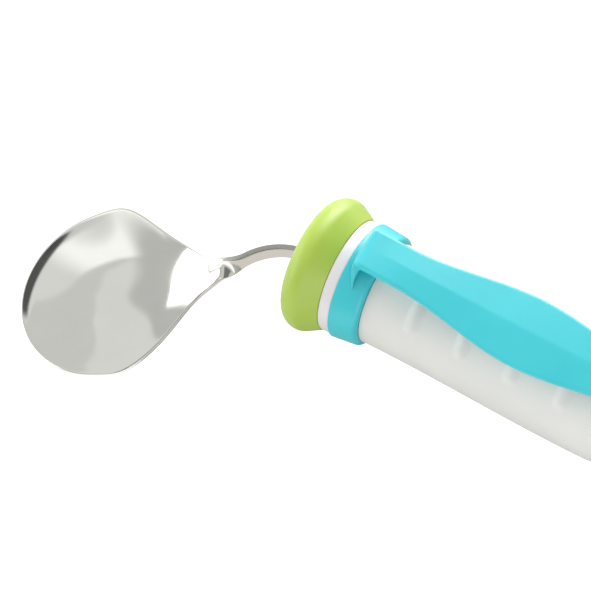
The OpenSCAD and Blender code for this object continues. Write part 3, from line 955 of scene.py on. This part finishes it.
FRAME_PX, SENSOR = 591, 36.0
LIP_PX = (347.8, 275.2)
PX_PER_MM = 4.0
DISTANCE, NEAREST, FARTHEST = 500.0, 10.0, 20000.0
AZIMUTH, ELEVATION, ROLL = np.radians([44.84, 63.71, 15.72])
level = np.array([np.cos(AZIMUTH), np.sin(AZIMUTH), 0])
aside = np.array([np.sin(AZIMUTH), -np.cos(AZIMUTH), 0])
towards = np.cos(ELEVATION) * aside + np.array([0, 0, np.sin(ELEVATION)])
upright = np.cross(towards, level)
right = np.cos(ROLL) * level - np.sin(ROLL) * upright
above = np.cross(towards, right)
shift = (np.array(LIP_PX) - FRAME_PX / 2) / PX_PER_MM
eye = np.array([LIP_FRONT, 0, 0]) + DISTANCE * towards - shift[0] * right + shift[1] * above
camera = bpy.data.objects.new("camera", bpy.data.cameras.new("camera"))
camera.data.sensor_width = SENSOR
camera.data.lens = PX_PER_MM * DISTANCE / FRAME_PX * SENSOR
camera.data.clip_start, camera.data.clip_end = NEAREST * MM, FARTHEST * MM
camera.matrix_world = placed(right, above, towards, eye)
bpy.context.scene.collection.objects.link(camera)
bpy.context.scene.camera = camera
print("camera at", eye.round(1), "lens", round(camera.data.lens, 2))

# %% [markdown]
# ## Studio
# The picture is high-key: a white ground without a shadow, and light from all round. The ground here glows
# like a light table, so it stays white. Two cards that the camera doesn't see lie on it: a grey one under
# the handle, which keeps the underside from being lit as brightly as the top, and a dimly glowing one that
# the neck's side mirrors.

# %% Ground and cards
def sheet(name, low, high, z, finish):
    """A level rectangle between two corners, for the stage."""
    (x0, y0), (x1, y1) = low, high
    mesh = bpy.data.meshes.new(name)
    corners = np.array([(x0, y0, z), (x1, y0, z), (x1, y1, z), (x0, y1, z)]) * MM
    mesh.from_pydata(corners, [], [(0, 1, 2, 3)])
    mesh.materials.append(finish)
    made = bpy.data.objects.new(name, mesh)
    bpy.context.scene.collection.objects.link(made)
    return made


def glowing(name, tint, strength):
    """Surface that glows evenly, like a light table."""
    table = Graph(bpy.data.materials.new(name))
    glow = table.node("ShaderNodeEmission", {}, {"Color": (*tint, 1), "Strength": strength})
    table.node("ShaderNodeOutputMaterial", {}, {"Surface": glow})
    return table.owner


GROUND_Z = cad_box[0][2] / MM
CARD_GAP = 0.3
GROUND_LOW, GROUND_HIGH = (-1600, -1500), (1400, 1500)
CARD_LOW_Y, CARD_HIGH_Y = -60, 90
NECK_CARD_X, CARD_X, CARD_END_X = -150, -116, 60
white_table = glowing("light_table", (1, 1, 1), 1.3)
warm_card = glowing("neck_card", (1, 0.96, 0.91), 0.78)
card_look = {"Base Color": (0.78, 0.77, 0.75, 1), "Roughness": 0.9}
grey_card = Graph(bpy.data.materials.new("card")).close(card_look)
sheet("ground", GROUND_LOW, GROUND_HIGH, GROUND_Z - CARD_GAP, white_table)
card = sheet("card", (CARD_X, CARD_LOW_Y), (CARD_END_X, CARD_HIGH_Y), GROUND_Z, grey_card)
neck_card = sheet("neck_card", (NECK_CARD_X, CARD_LOW_Y), (CARD_X, CARD_HIGH_Y), GROUND_Z, warm_card)
for hidden in (card, neck_card):
    hidden.visible_camera = False
print(f"ground at {GROUND_Z - CARD_GAP:.2f}")

# %% [markdown]
# The steel mirrors the whole room, so the room is painted on the world by direction. A grey wall goes all
# round. Facing the bowl stands a lighter stretch of wall, cut off by a darker arch, and low down a white
# one that the bowl's heel mirrors. Overhead is an opening with a bright panel. A dark strip beside the
# zenith gives the bowl its dark edge, and a dim stretch of the near wall darkens the quarter turn.
# Directions are taken apart in degrees, as azimuth and elevation, or in plan, as the x and y of the
# direction.

# %% Directions in the room
room = Graph(bpy.data.worlds.new("room"))
bpy.context.scene.world = room.owner
direction = room.node("ShaderNodeTexCoord", {}, {}, "Generated")
dx, dy, dz = (room.node("ShaderNodeSeparateXYZ", {}, {"Vector": direction}, axis) for axis in "XYZ")
elevation = np.degrees(1) * dz.math("ARCSINE")
azimuth = np.degrees(1) * (-1 * dy).math("ARCTAN2", -1 * dx) + 180


def window(value, low, high, soft):
    """1 between low and high, 0 outside, with sides that are soft wide."""
    opened, closed = (room.ramp(value, side - soft / 2, side + soft / 2) for side in (low, high))
    return opened * (1 - closed)


def arch(middle, half_width, top, drop, soft, flat=True):
    """1 under an arch on the room's wall: it is top high, in degrees, and is drop lower at its half width.
    It falls by the fourth power where it is flat, and else by the square."""
    aside = (azimuth - middle) * (1 / half_width)
    fall = aside * aside
    if flat:
        fall = fall * fall
    return room.ramp(top - drop * fall - elevation, -soft, soft)


# %% Walls
light_sides = room.ramp(azimuth, 141, 143) * (1 - room.ramp(azimuth, 218, 224))
light_wall = light_sides * arch(middle=190, half_width=48, top=69, drop=24, soft=3)
dark_wall = arch(middle=205, half_width=44, top=47, drop=31, soft=3) * (1 - room.ramp(azimuth, 236, 244))
white_sides = window(azimuth, 170, 224, soft=6) * room.ramp(elevation, 0, 6)
white_wall = white_sides * arch(middle=207, half_width=30, top=35, drop=12.6, soft=1, flat=False)
near_wall = window(azimuth, 266, 324, soft=14) * window(elevation, 9, 54, soft=12)
print("walls:", len(room.tree.nodes), "nodes")

# %% Overhead
OPENING_X, OPENING_HALF_X, OPENING_HALF_Y = -0.55, 0.4, 0.447
PANEL_EDGE = np.radians(222)
STRIP_BOW, STRIP_MID_Y, STRIP_X = 0.36, -0.1, 0.072

# The wall's top is rounded in plan like a quarter of an ellipse, and the opening lies beyond it
out_x = (dx - OPENING_X).math("MAXIMUM", 0) * (1 / OPENING_HALF_X)
out_y = (-1 * dy).math("MAXIMUM", 0) * (1 / OPENING_HALF_Y)
opening = room.ramp(out_x * out_x + out_y * out_y, 0.98, 1.16) * room.ramp(elevation, 43, 48)

# The panel gets brighter towards the near side and dark past its own straight edge
from_edge = np.cos(PANEL_EDGE) * dy - np.sin(PANEL_EDGE) * dx
panel = 0.13 + 0.38 * room.ramp(-1 * dy, 0, 0.3) - 0.5 * room.ramp(from_edge, 0.18, 0.29)

# The border of the dark strip is a parabola in plan
past_strip = dx + STRIP_BOW * (dy - STRIP_MID_Y) * (dy - STRIP_MID_Y) - STRIP_X
strip_ends = window(dy, -0.42, 0.6, soft=0.12) * room.ramp(dz, 0.6, 0.7)
dark_strip = strip_ends * window(past_strip, 0, 0.36, soft=0.08)
print("walls and overhead:", len(room.tree.nodes), "nodes")

# %% Brightness of the room
WALL, WALL_STEP, WHITE = 0.71, 0.12, 2.5
STRIP_DIM, NEAR_DIM = 0.88, 0.7
radiance = WALL + WALL_STEP * (light_wall * (1 - dark_wall) * (1 - opening) - dark_wall)
radiance = radiance + opening * panel + WHITE * white_wall
radiance = radiance * (1 - STRIP_DIM * dark_strip) * (1 - NEAR_DIM * near_wall)
shine = room.node("ShaderNodeBackground", {}, {"Color": (0.99, 1.015, 1, 1), "Strength": radiance})
room.node("ShaderNodeOutputWorld", {}, {"Surface": shine})
print("room:", len(room.tree.nodes), "nodes")

# %% [markdown]
# Three large lamps light the mouldings: one behind, which also lays a soft sheen on the strap and the
# guard, one low down behind, which brightens the far edges, and one in front. They are linked to the
# mouldings only, as a mirror would show them as bright squares.

# %% Lamps
AIM = np.array([-70.0, 0.0, 0.0])
mouldings = bpy.data.collections.new("mouldings")
for piece in (guard, tube, cap, grip, strap):
    mouldings.objects.link(piece)


def lamp(name, azimuth, elevation, distance, size, radiance):
    """Area lamp that looks at the handle and gives the same brightness from all over its face: its power is
    radiance times pi times area."""
    a, e = np.radians([azimuth, elevation])
    away = np.array([np.cos(a) * np.cos(e), np.sin(a) * np.cos(e), np.sin(e)])
    across = np.cross([0, 0, 1], away)
    across /= np.linalg.norm(across)
    light = bpy.data.lights.new(name, "AREA")
    light.size = size * MM
    light.energy = radiance * np.pi * light.size**2
    made = bpy.data.objects.new(name, light)
    made.matrix_world = placed(across, np.cross(away, across), away, AIM + distance * away)
    made.light_linking.receiver_collection = mouldings
    made.visible_camera = False
    bpy.context.scene.collection.objects.link(made)
    print(f"{name}: {light.energy:.2f} W")


lamp("back_lamp", azimuth=112, elevation=38, distance=700, size=500, radiance=4.2)
lamp("rim_lamp", azimuth=105, elevation=10, distance=700, size=400, radiance=6.0)
lamp("front_lamp", azimuth=300, elevation=25, distance=800, size=600, radiance=2.1)

# %% [markdown]
# Blender's usual view softens bright colours, as film does. The colours above are written as they should
# look, so the plain view is used, which shows them as they are.

# %% View
bpy.context.scene.view_settings.view_transform = "Standard"
print("view:", bpy.context.scene.view_settings.view_transform)
